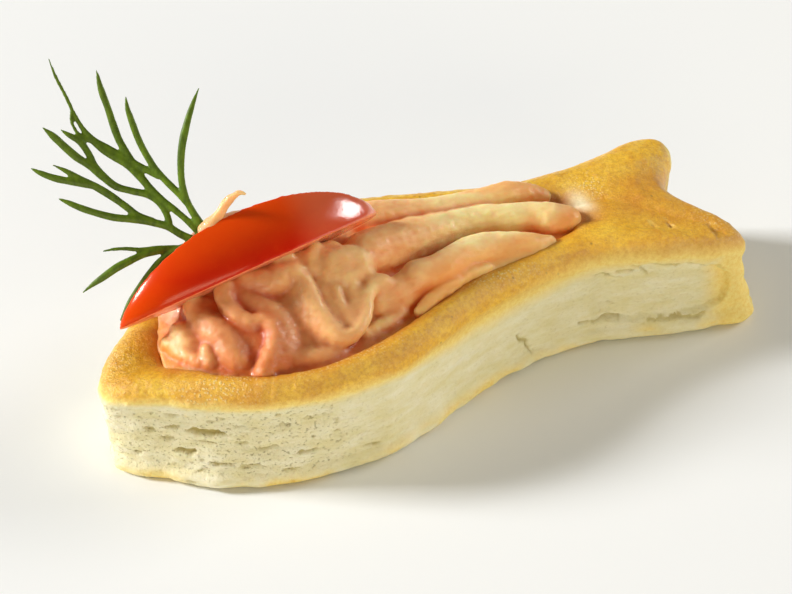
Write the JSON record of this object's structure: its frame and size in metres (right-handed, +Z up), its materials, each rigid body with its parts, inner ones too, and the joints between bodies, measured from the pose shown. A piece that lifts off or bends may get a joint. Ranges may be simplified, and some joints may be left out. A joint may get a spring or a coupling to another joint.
{
  "type": "vol-au-vent",
  "caption": "Fish-shaped puff pastry case filled with piped salmon cream, topped with a tomato wedge and a sprig of dill.",
  "frame": {"origin": "middle of the flat underside of the pastry case, on the surface it stands on", "axes": "+X from the fish's nose to its tail, +Z up, -Y to the side with the piped folds in front of the tomato"},
  "size_m": [0.0833, 0.0412, 0.0383],
  "materials": {
    "puff_pastry": "baked puff pastry, glazed golden crust on top and pale flaky layers at the side",
    "salmon_cream": "soft moist salmon cream",
    "tomato": "smooth glossy skin, moist cut faces",
    "dill": "fresh herb, slightly waxy"
  },
  "bodies": {
    "root": {"pastry_case": "puff_pastry", "cream": "salmon_cream", "tomato_wedge": "tomato", "dill_sprig": "dill"}
  },
  "joints": []
}
